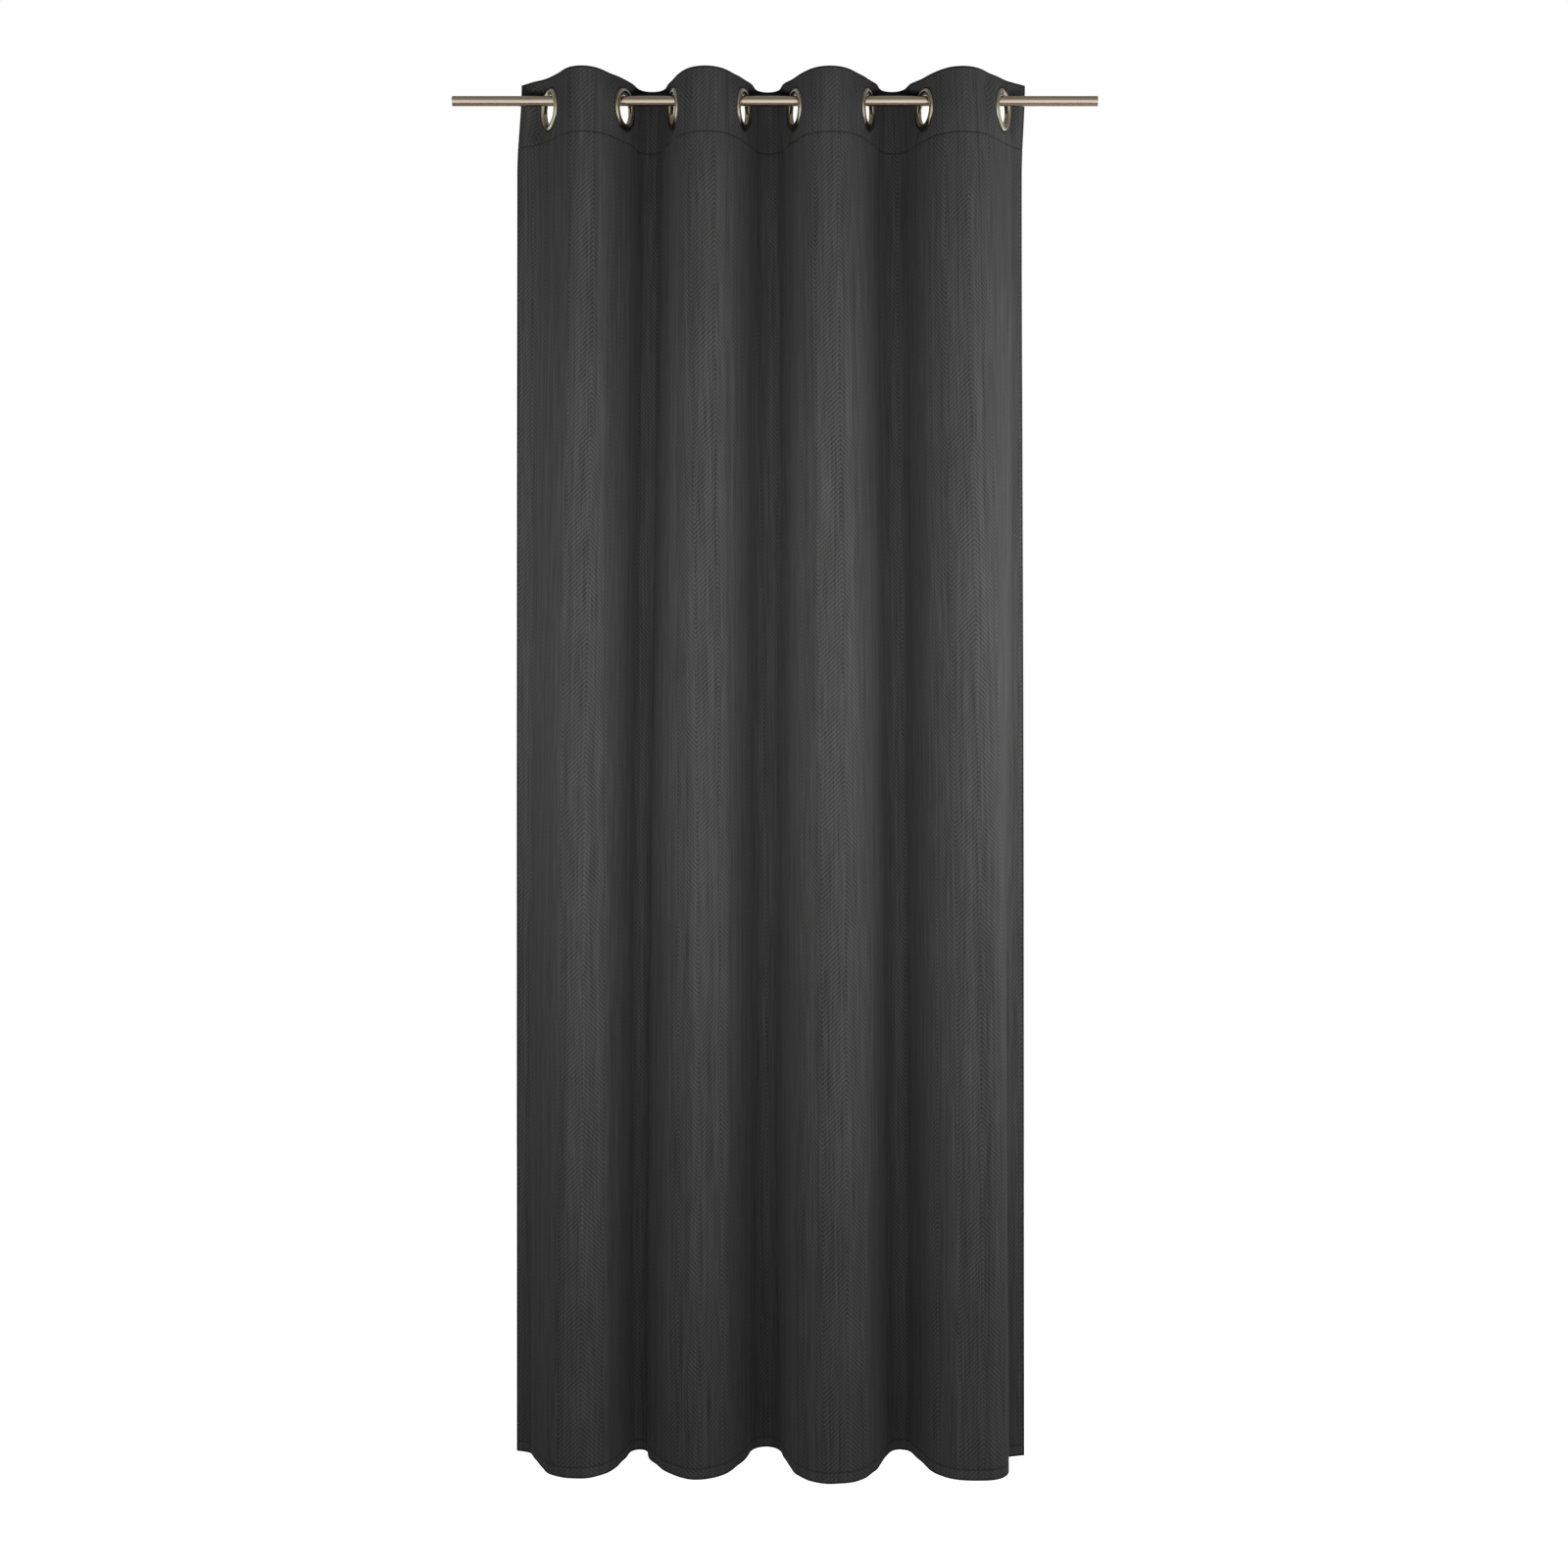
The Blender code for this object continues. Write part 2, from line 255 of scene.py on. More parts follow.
def cloth_material():
    """Charcoal herringbone with slubby warp threads. The map is the flat cloth, in metres."""
    shader = Shader("charcoal_herringbone")
    flat = shader.node("ShaderNodeUVMap", uv_map="flat_cloth").outputs["UV"]
    across, down, _ = shader.node("ShaderNodeSeparateXYZ", {"Vector": flat}).outputs
    threads = shader.stretched_noise(flat, (700, 16, 1), 2)
    fine_slub = shader.stretched_noise(flat, (300, 7, 1), 3)
    broad_slub = shader.stretched_noise(flat, (95, 0.9, 1), 2)
    mottle = shader.stretched_noise(flat, (9, 4, 1), 2)
    patchy = shader.stretched_noise(flat, (25, 25, 1), 2)
    rib = shader.maths("PINGPONG", across, HERRINGBONE_STRIPE)
    slant = shader.maths("ADD", rib, down)
    twill = shader.wave(slant, TWILL_DROP)
    fine_twill = shader.wave(slant, FINE_TWILL_DROP)
    warp = shader.wave(across, WARP_PITCH)
    tone = -0.70
    for noise, weight in ((threads, 0.70), (fine_slub, 0.90), (broad_slub, 0.60), (mottle, 0.20)):
        tone = shader.maths("MULTIPLY_ADD", noise, weight, tone)
    hatch = shader.maths("MULTIPLY", twill, shader.maths("MULTIPLY", patchy, TWILL_TONE))
    tone = shader.maths("ADD", hatch, tone)
    hem = shader.maths("GREATER_THAN", down, HEM_SEAM)
    tone = shader.maths("MULTIPLY_ADD", hem, HEM_TONE, tone)
    colour = shader.ramp(
        tone,
        (0.1, (0.022, 0.022, 0.022)),
        (0.5, (0.040, 0.040, 0.0398)),
        (0.9, (0.060, 0.060, 0.0595)),
    )
    # Painted shade at the edges, round the eyelets and in the seams darkens the colour
    shade = shader.maths("MULTIPLY", painted_edge_and_ring_shade(shader, across, down), painted_seam_shade(shader, down))
    shaded = shader.node("ShaderNodeVectorMath", {0: colour, 3: shade}, operation="SCALE")
    relief = shader.maths("MULTIPLY_ADD", warp, 0.25, shader.maths("MULTIPLY", fine_twill, 0.5))
    relief = shader.bump(relief, 0.25, 0.0002)
    relief = shader.bump(fine_slub, 0.25, 0.0005, relief)
    rough = shader.maths("MULTIPLY_ADD", fine_slub, 0.12, 0.85)
    return shader.set(
        Base_Color=shaded.outputs[0],
        Roughness=rough,
        Normal=relief,
        Sheen_Weight=0.05,
        Sheen_Roughness=0.5,
        Specular_IOR_Level=0.03,
    )


def painted_edge_and_ring_shade(shader, across, down):
    """Painted shade along the folded edges, and painted contact shadow round each eyelet."""
    nearest = shader.maths("MINIMUM", down, shader.maths("SUBTRACT", DROP, down))
    nearest = shader.maths("MINIMUM", nearest, shader.maths("SUBTRACT", across, SIDE_EDGES[0]))
    nearest = shader.maths("MINIMUM", nearest, shader.maths("SUBTRACT", SIDE_EDGES[1], across))
    edge = shader.fade(nearest, *PAINTED_EDGE_SHADE)
    along = shader.maths("WRAP", across, EYELET_PITCH / 2, -EYELET_PITCH / 2)
    drop = shader.maths("SUBTRACT", down, EYELET_DROP)
    reach = shader.maths("SQRT", shader.maths("ADD", shader.square(along), shader.square(drop)))
    ring = shader.fade(reach, *PAINTED_RING_SHADOW)
    return shader.maths("MULTIPLY", edge, ring)


def painted_seam_shade(shader, down):
    """Painted shade in the dents along the header's and the hem's stitching."""
    shade = 1.0
    for seam, depth in PAINTED_SEAM_DEPTHS:
        away = shader.maths("ABSOLUTE", shader.maths("SUBTRACT", down, seam))
        shade = shader.maths("MULTIPLY", shader.fade(away, *PAINTED_SEAM_FADE, 1 - depth), shade)
    return shade


def thread_material():
    shader = Shader("charcoal_thread")
    place = shader.node("ShaderNodeTexCoord").outputs["Object"]
    twist = shader.stretched_noise(place, (1800, 1800, 900))
    colour = shader.ramp(twist, (0.3, (0.012, 0.012, 0.012)), (0.7, (0.024, 0.024, 0.024)))
    return shader.set(Base_Color=colour, Roughness=0.6, Normal=shader.bump(twist, 0.4, 0.0001))


def tape_material():
    shader = Shader("buckram_tape")
    place = shader.node("ShaderNodeTexCoord").outputs["Object"]
    fibres = shader.stretched_noise(place, (900, 900, 700), 4)
    colour = shader.ramp(fibres, (0.3, (0.50, 0.49, 0.46)), (0.7, (0.68, 0.67, 0.63)))
    return shader.set(Base_Color=colour, Roughness=0.9, Normal=shader.bump(fibres, 0.3, 0.0002))


def eyelet_material():
    """Antique nickel: turned metal with a warm, slightly uneven lacquer."""
    shader = Shader("antique_nickel")
    place = shader.node("ShaderNodeTexCoord").outputs["Object"]
    cloud = shader.stretched_noise(place, (60, 60, 60), 3)
    grain = shader.stretched_noise(place, (1500, 1500, 400), 2)
    colour = shader.ramp(cloud, (0.35, (0.36, 0.31, 0.22)), (0.65, (0.47, 0.42, 0.32)))
    rough = shader.maths("MULTIPLY_ADD", grain, 0.12, 0.16)
    return shader.set(
        Base_Color=colour,
        Metallic=1.0,
        Roughness=rough,
        Normal=shader.bump(grain, 0.06, 0.0001),
        Coat_Weight=0.25,
        Coat_Roughness=0.12,
    )


def pole_material():
    """Champagne metal, brushed along its length, under a clear lacquer."""
    shader = Shader("brushed_champagne")
    place = shader.node("ShaderNodeTexCoord").outputs["Object"]
    brushed = shader.stretched_noise(place, (14, 2600, 2600), 2)
    cloud = shader.stretched_noise(place, (7, 40, 40), 2)
    colour = shader.ramp(cloud, (0.3, (0.52, 0.43, 0.33)), (0.7, (0.60, 0.50, 0.39)))
    rough = shader.maths("MULTIPLY_ADD", brushed, 0.08, 0.20)
    return shader.set(
        Base_Color=colour,
        Metallic=1.0,
        Roughness=rough,
        Normal=shader.bump(brushed, 0.04, 0.0001),
        Coat_Weight=0.35,
        Coat_Roughness=0.10,
    )


MATERIALS = {
    "cloth": cloth_material(),
    "thread": thread_material(),
    "tape": tape_material(),
    "eyelet": eyelet_material(),
    "pole": pole_material(),
}

# ---------------------------------------------------------------- the hung shape in plan


def walk(heading_at, length):
    """Arrays of x and depth along a walk from the origin, with heading_at(0 to 1)."""
    middles = (np.arange(WALK_STEPS) + 0.5) / WALK_STEPS
    heading = heading_at(middles)
    step = length / WALK_STEPS
    x = np.concatenate([[0.0], np.cumsum(np.cos(heading))]) * step
    depth = np.concatenate([[0.0], np.cumsum(np.sin(heading))]) * step
    return x, depth


def bisect(too_far, low, high):
    for _ in range(HALVINGS):
        middle = (low + high) / 2
        low, high = (low, middle) if too_far(middle) else (middle, high)
    return (low + high) / 2


def fold_walk(length, start, end, width, straight):
    """The walk of one fold, from one crossing of the pole's line to the next, width away."""
    flat = straight / length

    def walked(squareness, lean):
        def heading(u):
            v = np.clip((u - flat) / (1 - 2 * flat), 0.0, 1.0)
            bend = (1 - squareness) * np.cos(np.pi * v) + squareness * np.cos(3 * np.pi * v)
            return (start + end) / 2 * bend + (start - end) / 2 + lean * np.sin(np.pi * v)

        return walk(heading, length)

    def path(squareness):
        lean = bisect(lambda value: walked(squareness, value)[1][-1] > 0, *LEAN_RANGE)
        return walked(squareness, lean)

    return path(bisect(lambda value: path(value)[0][-1] > width, *SQUARENESS_RANGE))


def flap_walk(length, turn, edge_turn, straight, bend):
    """The walk from an end crossing out to the side edge."""

    def heading(u):
        v = np.clip((u * length - straight) / bend, 0.0, 1.0)
        return turn + (edge_turn - turn) * v * v * (3 - 2 * v)

    return walk(heading, length)


def panel_walk(start, lengths, widths, turns, flaps, straight):
    """Distance, x and y of the whole panel in plan, from the left side edge to the right one."""
    turns = np.radians(turns)
    share = np.arange(1, WALK_STEPS + 1) / WALK_STEPS
    left, right = [(math.radians(flap[0]), *flap[1:]) for flap in flaps]
    dx, depth = flap_walk(lengths[0], turns[0], *left)
    along = [SIDE_EDGES[0] + np.concatenate([[0.0], share]) * lengths[0]]
    xs = [start - dx[::-1]]
    ys = [depth[::-1]]
    x = start
    distance = SIDE_EDGES[0] + lengths[0]
    side = -1
    for i, width in enumerate(widths):
        dx, depth = fold_walk(lengths[i + 1], turns[i], turns[i + 1], width, straight)
        along.append(distance + share * lengths[i + 1])
        xs.append(x + dx[1:])
        ys.append(side * depth[1:])
        x += width
        distance += lengths[i + 1]
        side = -side
    dx, depth = flap_walk(lengths[-1], turns[-1], *right)
    along.append(distance + share * lengths[-1])
    xs.append(x + dx[1:])
    ys.append(depth[1:])
    return np.concatenate(along), np.concatenate(xs), np.concatenate(ys)


PLANS = [panel_walk(**shape) for shape in (AT_EYELETS, AT_TOP, UNDER_EYELETS, AT_HEM)]


def smooth(value, low, high):
    v = np.clip((value - low) / (high - low), 0.0, 1.0)
    return v * v * (3 - 2 * v)


def ring_distance(s, d):
    """Distance on the flat cloth from the nearest eyelet's centre."""
    nearest = np.clip(np.round(s / EYELET_PITCH), 0, COUNT - 1) * EYELET_PITCH
    return np.hypot(s - nearest, d - EYELET_DROP)


def plan_at(s, d):
    """x and y of the cloth's middle at distance s along the panel and d below its top edge."""
    free = smooth(ring_distance(s, d), *LETS_GO)
    under = smooth(d, 0.0, UNDER_DEPTH)
    evenly = np.clip((d - HEM_EVENLY_FROM) / (DROP - HEM_EVENLY_FROM), 0.0, 1.0)
    hem = HEM_SOFT_SHARE * smooth(d, *HEM_SOFTLY) + (1 - HEM_SOFT_SHARE) * evenly
    shares = (1 - free) * (1 - hem), free * (1 - under) * (1 - hem), free * under * (1 - hem), hem
    x = sum(share * np.interp(s, plan[0], plan[1]) for share, plan in zip(shares, PLANS))
    y = sum(share * np.interp(s, plan[0], plan[2]) for share, plan in zip(shares, PLANS))
    return x, y


def dent(away, depth, width):
    """A soft dent, depth deep where away is 0."""
    return depth * np.exp(-((away / width) ** 2))


# Long soft ripples that run down the cloth: wavelength across, height, lean and phase of each
RIPPLES = ((0.061, 0.0010, 0.9, 0.4), (0.034, 0.0003, -1.7, 2.1))
RIPPLES_COME_IN = (0.08, 0.5)
# The header's stitching puckers the cloth: height, pitch and how far up and down it reaches
PUCKER_HEIGHT = 0.00022
PUCKER_PITCH = 0.011
PUCKER_REACH = 0.010


def ripple(s, d):
    """How far the ripples and the pucker lift the cloth off its smooth shape."""
    total = 0.0
    for wavelength, height, lean, phase in RIPPLES:
        swell = 0.6 + 0.4 * np.sin(2.3 * d + 9.0 * s + phase)
        total = total + height * swell * np.sin(math.tau * s / wavelength + lean * d + phase)
    wrinkle = PUCKER_HEIGHT * np.sin(math.tau * s / PUCKER_PITCH)
    pucker = wrinkle * dent(d - HEADER_SEAM, 1.0, PUCKER_REACH)
    return total * smooth(d, *RIPPLES_COME_IN) + pucker


def place(s, d, offset):
    """Points of the cloth, offset outward from the middle of the header's thickness."""
    s = np.asarray(s, float)
    d = np.asarray(d, float)
    x, y = plan_at(s, d)
    x0, y0 = plan_at(s - TANGENT_STEP, d)
    x1, y1 = plan_at(s + TANGENT_STEP, d)
    length = np.hypot(x1 - x0, y1 - y0)
    out_x, out_y = (y1 - y0) / length, -(x1 - x0) / length
    away = offset + ripple(s, d)
    return np.stack([x + out_x * away, y + out_y * away, TOP_Z - d + 0 * x], axis=-1)


# ---------------------------------------------------------------- layers of the cloth

# Depth and width of the dent that each row of stitching makes
HEADER_DENT = (0.00055, 0.0013)
HEM_DENT = (0.00035, 0.0012)
SIDE_DENT = (0.00025, 0.0012)
BACK_DENT_SHARE = 0.4
LEAST_ROUNDING = 0.2


def edge_distance(s, d):
    """How far a point of the flat cloth is from the nearest folded edge."""
    return np.minimum.reduce([d, DROP - d, s - SIDE_EDGES[0], SIDE_EDGES[1] - s])


def side_distance(s):
    return np.minimum(s - SIDE_EDGES[0], SIDE_EDGES[1] - s)


def thickness(s, d):
    """Header with its pocket, single cloth, and the triple layers of bottom and side hems."""
    hemmed = (d > DROP - HEM_DEPTH) | (side_distance(s) < SIDE_HEM)
    return np.where(d < HEADER_DEPTH, 2 * HALF_HEADER, np.where(hemmed, HEM_LAYERS, CLOTH))


def rounding(s, d, thick):
    """How much of the half thickness is left, near a folded edge."""
    inward = np.clip(edge_distance(s, d) / (thick / 2), 0.0, 1.0)
    return np.maximum(np.sqrt(1 - (1 - inward) ** 2), LEAST_ROUNDING)


def seam_dip(s, d):
    """The cloth is drawn in along each row of stitching."""
    header = dent(d - HEADER_SEAM, *HEADER_DENT)
    hem = dent(d - HEM_SEAM, *HEM_DENT)
    side = dent(side_distance(s) - SIDE_SEAM, *SIDE_DENT)
    return header + hem + side * smooth(d, HEADER_DEPTH, HEADER_DEPTH + 0.01)


def face_offset(s, d):
    thick = thickness(s, d)
    return HALF_HEADER - seam_dip(s, d) - thick / 2 * (1 - rounding(s, d, thick))


def back_offset(s, d):
    thick = thickness(s, d)
    dip = seam_dip(s, d) * BACK_DENT_SHARE
    return HALF_HEADER - thick + dip + thick / 2 * (1 - rounding(s, d, thick))


def level(height):
    """An offset that is the same all over the cloth."""
    return lambda s, d: height + 0 * s


def reaches(place_along, low, high):
    """Whether a place along the panel is in the stretch from low to high, ends included."""
    return low - TOUCHING < place_along < high + TOUCHING


def spaced(low, high, step):
    return list(np.linspace(low, high, max(2, round((high - low) / step) + 1)))


# The pocket in the header, from under the top edge's fold down to its stitching
POCKET_LOW = CLOTH + 0.0006
POCKET_HIGH = HEADER_SEAM - 0.0018


def rows():
    """Distances below the top edge: close together at edges, seams and eyelets, wide between."""
    made = [0.0, 0.0004, 0.0009, POCKET_LOW]
    made += spaced(0.0035, HEADER_SEAM - 0.0035, COLUMN_STEP)
    made += [HEADER_SEAM + step for step in (-0.0018, -0.0009, 0.0, 0.0009, 0.0018)]
    made += [HEADER_DEPTH - 0.0001, HEADER_DEPTH + 0.0002]
    made += spaced(HEADER_DEPTH + 0.004, 0.16, 0.009)
    made += spaced(0.18, HEM_SEAM - 0.02, 0.022)
    made += [DROP - HEM_DEPTH - 0.0025, DROP - HEM_DEPTH - 0.0002, DROP - HEM_DEPTH + 0.0001]
    made += [HEM_SEAM + step for step in (-0.0008, 0.0, 0.0008, 0.002)]
    made += spaced(HEM_SEAM + 0.005, DROP - 0.003, 0.004)
    made += [DROP - 0.0013, DROP - 0.0007, DROP - 0.0003, DROP]
    return np.array(sorted(set(made)))


# Grid points this many hole radii from a hole's centre may be moved onto its rim
NEAR_HOLE = 1.5


def flat_grid(columns, depths, holes):
    """Flat places of a grid with round eyelet holes, and which of its cells are cloth."""
    s, d = np.meshgrid(columns, depths)
    inside = np.zeros(s.shape, bool)
    for hole in holes:
        inside |= np.hypot(s - hole, d - EYELET_DROP) < HOLE_RADIUS - COLUMN_STEP / 2
    cell_inside = inside[:-1, :-1] | inside[1:, :-1] | inside[:-1, 1:] | inside[1:, 1:]
    kept = ~cell_inside
    for hole in holes:
        for r, c in np.argwhere(np.hypot(s - hole, d - EYELET_DROP) < HOLE_RADIUS * NEAR_HOLE):
            cells = kept[max(r - 1, 0) : r + 1, max(c - 1, 0) : c + 1]
            if cells.any() and not cells.all():
                reach = math.hypot(s[r, c] - hole, d[r, c] - EYELET_DROP)
                s[r, c] = hole + (s[r, c] - hole) * HOLE_RADIUS / reach
                d[r, c] = EYELET_DROP + (d[r, c] - EYELET_DROP) * HOLE_RADIUS / reach
    return s, d, kept


def layered_mesh(columns, depths, holes, offsets, pocket=None, pocket_offsets=None):
    """A closed bmesh between two offset layers of the cloth, with a pocket inside where asked.

    pocket(s, d) says whether a cell centred there has the pocket."""
    s, d, kept = flat_grid(columns, depths, holes)
    bm = bmesh.new()
    flat = bm.loops.layers.uv.new("flat_cloth")
    place_of = {}

    def layer(offset, wanted):
        points = place(s, d, offset(s, d))
        made = {}
        for r, c in np.argwhere(wanted):
            vert = bm.verts.new(points[r, c])
            place_of[vert] = (s[r, c], d[r, c])
            made[(int(r), int(c))] = vert
        return made

    def corners(mask):
        found = np.zeros(s.shape, bool)
        for r, c in ((0, 0), (0, 1), (1, 0), (1, 1)):
            found[r : r + mask.shape[0], c : c + mask.shape[1]] |= mask
        return found

    centre_s = (columns[:-1] + columns[1:])[None, :] / 2
    centre_d = (depths[:-1] + depths[1:])[:, None] / 2
    pocketed = kept & pocket(centre_s, centre_d) if pocket else np.zeros_like(kept)
    outer = [layer(offset, corners(kept)) for offset in offsets]
    inner = [layer(offset, corners(pocketed)) for offset in pocket_offsets or ()]

    def through(point):
        """The vertices from face to back at a grid point."""
        between = [inner[0][point], inner[1][point]] if inner and point in inner[0] else []
        return [outer[0][point], *between, outer[1][point]]

    height, width = kept.shape
    for r, c in np.argwhere(kept):
        r, c = int(r), int(c)
        square = [(r, c), (r, c + 1), (r + 1, c + 1), (r + 1, c)]
        for made in outer + (inner if pocketed[r, c] else []):
            bm.faces.new([made[point] for point in square])
        steps = ((-1, 0), (0, 1), (1, 0), (0, -1))
        for (dr, dc), a, b in zip(steps, square, square[1:] + square[:1]):
            nr, nc = r + dr, c + dc
            open_edge = not (0 <= nr < height and 0 <= nc < width) or not kept[nr, nc]
            if open_edge and pocketed[r, c]:
                bm.faces.new([outer[0][a], outer[0][b], inner[0][b], inner[0][a]])
                bm.faces.new([inner[1][a], inner[1][b], outer[1][b], outer[1][a]])
            elif open_edge:
                bm.faces.new(through(a) + through(b)[::-1])
            elif pocketed[r, c] and not pocketed[nr, nc]:
                bm.faces.new([inner[0][a], inner[0][b], inner[1][b], inner[1][a]])
    for face in bm.faces:
        for loop in face.loops:
            loop[flat].uv = place_of[loop.vert]
    bmesh.ops.recalc_face_normals(bm, faces=bm.faces)
    return bm


def add_object(name, bm, material, sharp_degrees=50):
    """A smooth-shaded object from the bmesh, which it frees."""
    mesh = bpy.data.meshes.new(name)
    bm.to_mesh(mesh)
    bm.free()
    mesh.shade_smooth()
    mesh.set_sharp_from_angle(angle=math.radians(sharp_degrees))
    mesh.materials.append(material)
    obj = bpy.data.objects.new(name, mesh)
    bpy.context.scene.collection.objects.link(obj)
    return obj


# ---------------------------------------------------------------- stitching

STITCH_PITCH = 0.0036
STITCH_LENGTH = 0.0026
SIDE_STITCH_PITCH = STITCH_PITCH * 1.3
SIDE_STITCH_LENGTH = STITCH_LENGTH * 1.2
THREAD = 0.00034


def add_stitch(bm, s, d, ds, dd, offset, outward):
    """One short stitch of thread, which rises out of the cloth and dips back into it."""
    shares = (-0.5, -0.32, 0.32, 0.5)
    rises = (-0.9, 0.5, 0.5, -0.9)
    rings = []
    for share, rise in zip(shares, rises):
        centre_s, centre_d = s + ds * share, d + dd * share
        level = offset(np.array(centre_s), np.array(centre_d)) + outward * THREAD * rise
        across_s, across_d = (0, THREAD) if ds else (THREAD, 0)
        ring = [
            place(centre_s + across_s * a, centre_d + across_d * a, level + THREAD * b)
            for a, b in ((1, 0), (0, 1), (-1, 0), (0, -1))
        ]
        rings.append([bm.verts.new(point) for point in ring])
    for first, second in zip(rings, rings[1:]):
        for j in range(4):
            k = (j + 1) % 4
            bm.faces.new((first[j], first[k], second[k], second[j]))
    bm.faces.new(rings[0])
    bm.faces.new(rings[-1][::-1])


def stitching(low, high):
    """Header and hem stitching from low to high along the panel, and the side hem's if it has one."""
    bm = bmesh.new()
    count = int((high - low) / STITCH_PITCH)
    for i in range(count):
        s = low + (i + 0.5) * (high - low) / count
        for d in (HEADER_SEAM, HEM_SEAM):
            add_stitch(bm, s, d, STITCH_LENGTH, 0.0, face_offset, 1)
            add_stitch(bm, s, d, STITCH_LENGTH, 0.0, back_offset, -1)
    for edge, inward in zip(SIDE_EDGES, (1, -1)):
        if reaches(edge, low, high):
            s = edge + inward * SIDE_SEAM
            run = HEM_SEAM - HEADER_SEAM
            count = int(run / SIDE_STITCH_PITCH)
            for i in range(1, count):
                d = HEADER_SEAM + i * run / count
                add_stitch(bm, s, d, 0.0, SIDE_STITCH_LENGTH, face_offset, 1)
                add_stitch(bm, s, d, 0.0, SIDE_STITCH_LENGTH, back_offset, -1)
    bmesh.ops.recalc_face_normals(bm, faces=bm.faces)
    return bm


# ---------------------------------------------------------------- the curtain's pieces


def in_pocket(s, d):
    clear = side_distance(s) > SIDE_HEM
    return clear & (d > POCKET_LOW) & (d < POCKET_HIGH)


# Columns of the grid at a side edge, as distances in from it
SIDE_COLUMNS = (
    0.0003, 0.0008, 0.0014, 0.004, 0.007, SIDE_SEAM, SIDE_HEM - 0.0001, SIDE_HEM + 0.0002
)


def columns_between(low, high):
    """Distances along the panel, closer together at a side edge and its hem."""
    made = spaced(low, high, COLUMN_STEP)
    for edge, inward in zip(SIDE_EDGES, (1, -1)):
        if reaches(edge, low, high):
            made = [s for s in made if abs(s - edge) < 1e-6 or abs(s - edge) > SIDE_HEM + TOUCHING]
            made += [edge + inward * step for step in SIDE_COLUMNS]
    return np.array(sorted(made))


# The tape's edges, clear of the pocket's: below the top edge, and in from each side edge
TAPE_TOP = CLOTH + GAP + 0.0012
TAPE_FOOT = POCKET_HIGH - GAP - 0.0006
TAPE_SIDE = SIDE_HEM + 0.001


def tape_rows():
    return np.array(spaced(TAPE_TOP, TAPE_FOOT, COLUMN_STEP))


def tape_columns(low, high):
    low = max(low, SIDE_EDGES[0] + TAPE_SIDE)
    high = min(high, SIDE_EDGES[1] - TAPE_SIDE)
    return np.array(spaced(low, high, COLUMN_STEP))


def build_cloth_piece(name, number, low, high, bodies, ends):
    """One stretch of the panel: its cloth, the tape in its header and its stitching."""
    centres = [i * EYELET_PITCH for i in range(COUNT)]
    holes = [centre for centre in centres if reaches(centre, low, high)]
    bm = layered_mesh(
        columns_between(low, high),
        rows(),
        holes,
        (face_offset, back_offset),
        in_pocket,
        (level(HALF_POCKET), level(-HALF_POCKET)),
    )
    cloth = add_object(name, bm, MATERIALS["cloth"])
    bm = layered_mesh(tape_columns(low, high), tape_rows(), holes, (level(TAPE / 2), level(-TAPE / 2)))
    tape = add_object(f"{name}_tape", bm, MATERIALS["tape"])
    bm = stitching(low, high)
    threads = add_object(f"{name}_stitching", bm, MATERIALS["thread"], sharp_degrees=80)
    for piece in (cloth, tape, threads):
        if ends:
            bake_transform(piece)
        else:
            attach(piece, bodies[0])
    if number:
        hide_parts(f"curtain_cloth_{number}")
        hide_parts(f"header_tape_{number}")


def eyelet_frame(number):
    """Puts local Z along the eyelet's axis, out of the curtain's face."""
    heading = math.radians(EYELET_TURNS[number]) * (-1 if number % 2 == 0 else 1)
    turned = Matrix.Rotation(heading, 4, "Z") @ Matrix.Rotation(math.pi / 2, 4, "X")
    return Matrix.Translation((EYELET_X[number], 0, EYELET_Z)) @ turned


def turned_mesh(profile, sides):
    """A closed ring turned around Z from a closed profile of (radius, height)."""
    bm = bmesh.new()
    rings = []
    for i in range(sides):
        angle = math.tau * i / sides
        rings.append(
            [bm.verts.new((r * math.cos(angle), r * math.sin(angle), h)) for r, h in profile]
        )
    for first, second in zip(rings, rings[1:] + rings[:1]):
        for j in range(len(profile)):
            k = (j + 1) % len(profile)
            bm.faces.new((first[j], first[k], second[k], second[j]))
    bmesh.ops.recalc_face_normals(bm, faces=bm.faces)
    return bm


def arc(centre, radius, start, end, steps):
    """Points on an arc of (radius, height), from start to end in degrees."""
    return [
        (
            centre[0] + radius * math.cos(math.radians(start + (end - start) * i / steps)),
            centre[1] + radius * math.sin(math.radians(start + (end - start) * i / steps)),
        )
        for i in range(steps + 1)
    ]


RIM_WIDTH = 0.0046
RIM_HEIGHT = 0.0036
RIM_STEPS = 12
BEAD_RADIUS = 0.0012
BACK_RIM_HEIGHT = 0.0016
EYELET_SIDES = 72
POLE_SIDES = 96


def face_profile():
    """A domed rim with a small bead round its mouth, and the barrel through the cloth."""
    seat = HALF_HEADER + GAP
    crown = EYELET_OUTER - RIM_WIDTH
    mouth = EYELET_INNER + BEAD_RADIUS
    back = -HALF_HEADER - GAP - BACK_RIM_HEIGHT
    barrel = EYELET_INNER + BARREL_WALL
    profile = []
    for i in range(RIM_STEPS + 1):
        turn = math.pi / 2 * i / RIM_STEPS
        profile.append((crown + RIM_WIDTH * math.cos(turn), seat + RIM_HEIGHT * math.sin(turn)))
    profile += [(crown - 0.0016, seat + 0.00345), (crown - 0.0028, seat + 0.0030)]
    profile += [(mouth + 0.0016, seat + 0.0021), (mouth + 0.0012, seat + 0.00185)]
    profile += arc((mouth, seat + 0.0010), BEAD_RADIUS, 60, 180, 8)
    profile += [(EYELET_INNER, back + 0.0004), (EYELET_INNER + 0.0004, back)]
    profile += [(barrel, back), (barrel, seat)]
    return profile


